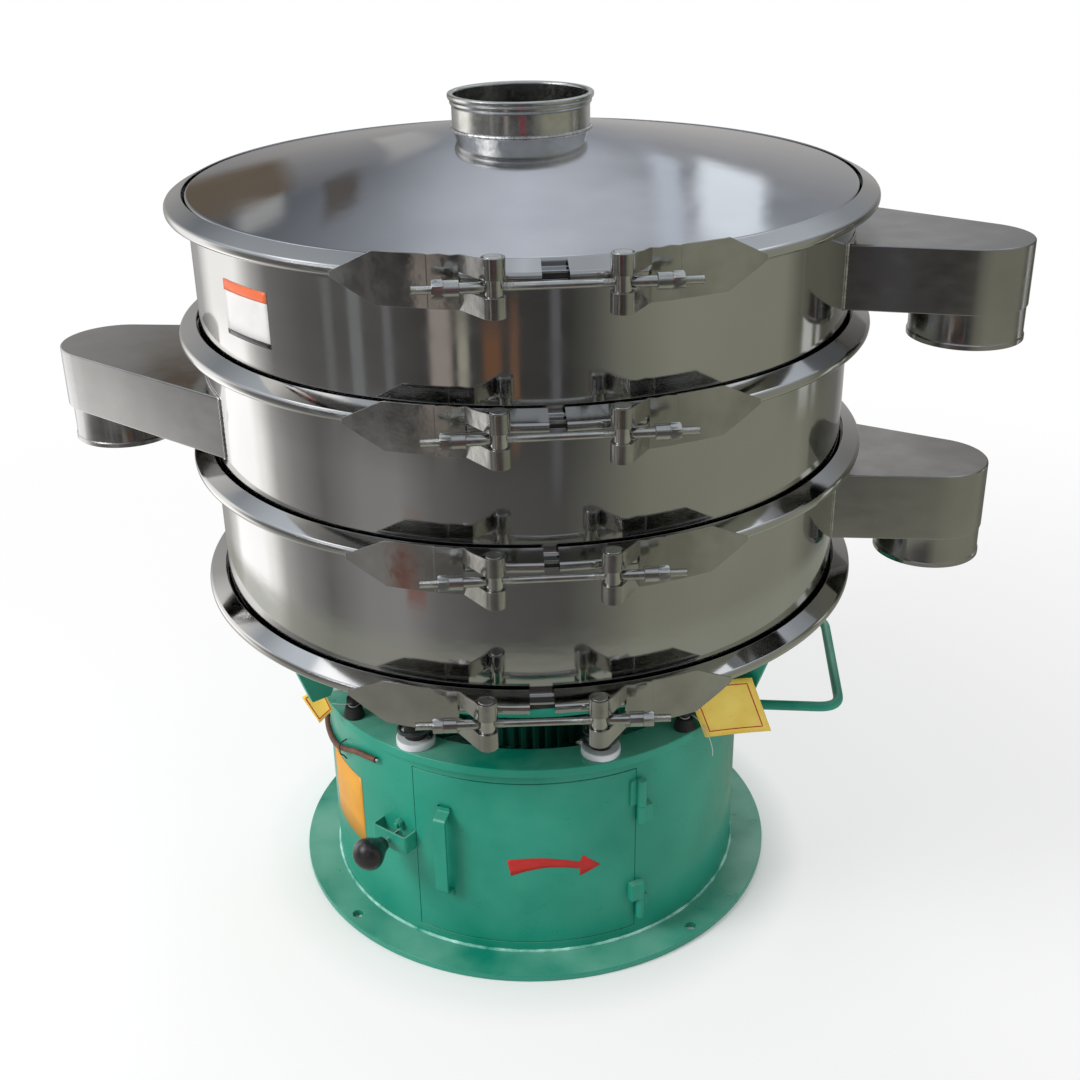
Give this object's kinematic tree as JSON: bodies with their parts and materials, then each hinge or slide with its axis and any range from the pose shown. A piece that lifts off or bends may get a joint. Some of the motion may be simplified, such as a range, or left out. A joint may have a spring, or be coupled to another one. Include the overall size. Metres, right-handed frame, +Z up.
{
  "type": "vibrating sieve",
  "caption": "Round vibrating sieve with stacked stainless decks held by clamp bands, flared side spouts, a conical lid with inlet ferrule and a green sprung base with a motor",
  "frame": {"origin": "middle of the object's footprint, on the floor", "axes": "+Z up, +X to the right as seen from the clamps and the door, +Y away from the viewer; the machine's own axis is vertical, about 22 mm behind the origin"},
  "size_m": [1.3772, 1.0246, 1.2201],
  "materials": {
    "polished_stainless": "mirror-polished stainless steel",
    "satin_stainless": "satin stainless steel",
    "bright_steel": "bright machined steel",
    "green_enamel": "gloss teal-green paint",
    "black_spring_steel": "black coated spring steel",
    "black_rubber": "matt black rubber",
    "black_phenolic": "gloss black phenolic",
    "brown_sheath": "brown cable sheath"
  },
  "bodies": {
    "base": {"spring_ring": "green_enamel", "base_shell": "green_enamel", "floor_flange": "green_enamel", "side_handle": "green_enamel", "supply_lead": "brown_sheath", "latch_bracket": "green_enamel", "transport_bolt_1": "black_rubber", "transport_bolt_2": "black_rubber", "transport_bolt_3": "black_rubber", "transport_bolt_4": "black_rubber", "spring_1": "black_spring_steel", "spring_2": "black_spring_steel", "spring_3": "black_spring_steel", "spring_4": "black_spring_steel", "spring_5": "black_spring_steel", "spring_6": "black_spring_steel", "spring_7": "black_spring_steel", "spring_8": "black_spring_steel"},
    "sieve": {"lid": "satin_stainless", "inlet_ferrule": "satin_stainless", "lid_gasket": "black_rubber", "deck_1": "polished_stainless", "spout_1": "satin_stainless", "screen_upper": "satin_stainless", "upper_screen_gasket": "black_rubber", "deck_2": "polished_stainless", "spout_2": "satin_stainless", "screen_lower": "satin_stainless", "lower_screen_gasket": "black_rubber", "deck_3": "polished_stainless", "spout_3": "satin_stainless", "table_gasket": "black_rubber", "table_frame": "green_enamel", "motor_housing": "green_enamel", "clamp_band_1": "polished_stainless", "clamp_pin_1_left": "bright_steel", "clamp_pin_1_right": "bright_steel", "clamp_rod_1": "bright_steel", "clamp_band_2": "polished_stainless", "clamp_pin_2_left": "bright_steel", "clamp_pin_2_right": "bright_steel", "clamp_rod_2": "bright_steel", "clamp_band_3": "polished_stainless", "clamp_pin_3_left": "bright_steel", "clamp_pin_3_right": "bright_steel", "clamp_rod_3": "bright_steel", "clamp_band_4": "polished_stainless", "clamp_pin_4_left": "bright_steel", "clamp_pin_4_right": "bright_steel", "clamp_rod_4": "bright_steel"},
    "rotor": {"motor_shaft": "bright_steel"},
    "lower_weight_body": {"lower_weight": "bright_steel"},
    "door_body": {"door": "green_enamel", "door_pull": "green_enamel"},
    "latch": {"latch_spindle": "bright_steel", "latch_knob": "black_phenolic"},
    "nut_1": {"clamp_nut_1": "bright_steel"},
    "nut_2": {"clamp_nut_2": "bright_steel"},
    "nut_3": {"clamp_nut_3": "bright_steel"},
    "nut_4": {"clamp_nut_4": "bright_steel"}
  },
  "joints": [
    {"name": "sieve_bounce", "type": "slide", "parent": "base", "child": "sieve", "axis": [0, 0, 1], "range_m": [-0.005, 0.005], "stiffness_N_per_m": 126000, "springref_m": 0.0199, "deforming": ["spring_1", "spring_2", "spring_3", "spring_4", "spring_5", "spring_6", "spring_7", "spring_8"]},
    {"name": "motor_spin", "type": "hinge", "parent": "sieve", "child": "rotor", "pos_m": [0.0074, 0.0223, 0.508], "axis": [0, 0, 1], "continuous": true},
    {"name": "lower_weight_angle", "type": "hinge", "parent": "rotor", "child": "lower_weight_body", "pos_m": [0.0074, 0.0223, 0.15], "axis": [0, 0, 1], "range_deg": [0, 90]},
    {"name": "door_swing", "type": "hinge", "parent": "base", "child": "door_body", "pos_m": [0.16354, -0.27894, 0.175], "axis": [0, 0, 1], "range_deg": [0, 110]},
    {"name": "latch_turn", "type": "hinge", "parent": "base", "child": "latch", "pos_m": [-0.20976, -0.25218, 0.184], "axis": [0.6205, 0.7842, 0], "range_deg": [0, 90]},
    {"name": "clamp_nut_1_turn", "type": "hinge", "parent": "sieve", "child": "nut_1", "pos_m": [0.15943, -0.48313, 1.0928], "axis": [0.9974, 0.0715, 0], "continuous": true},
    {"name": "clamp_nut_2_turn", "type": "hinge", "parent": "sieve", "child": "nut_2", "pos_m": [0.16031, -0.48286, 0.9174], "axis": [0.9973, 0.0732, 0], "continuous": true},
    {"name": "clamp_nut_3_turn", "type": "hinge", "parent": "sieve", "child": "nut_3", "pos_m": [0.15058, -0.4857, 0.7379], "axis": [0.9985, 0.0541, 0], "continuous": true},
    {"name": "clamp_nut_4_turn", "type": "hinge", "parent": "sieve", "child": "nut_4", "pos_m": [0.13545, -0.48973, 0.5379], "axis": [0.9997, 0.0244, 0], "continuous": true}
  ]
}
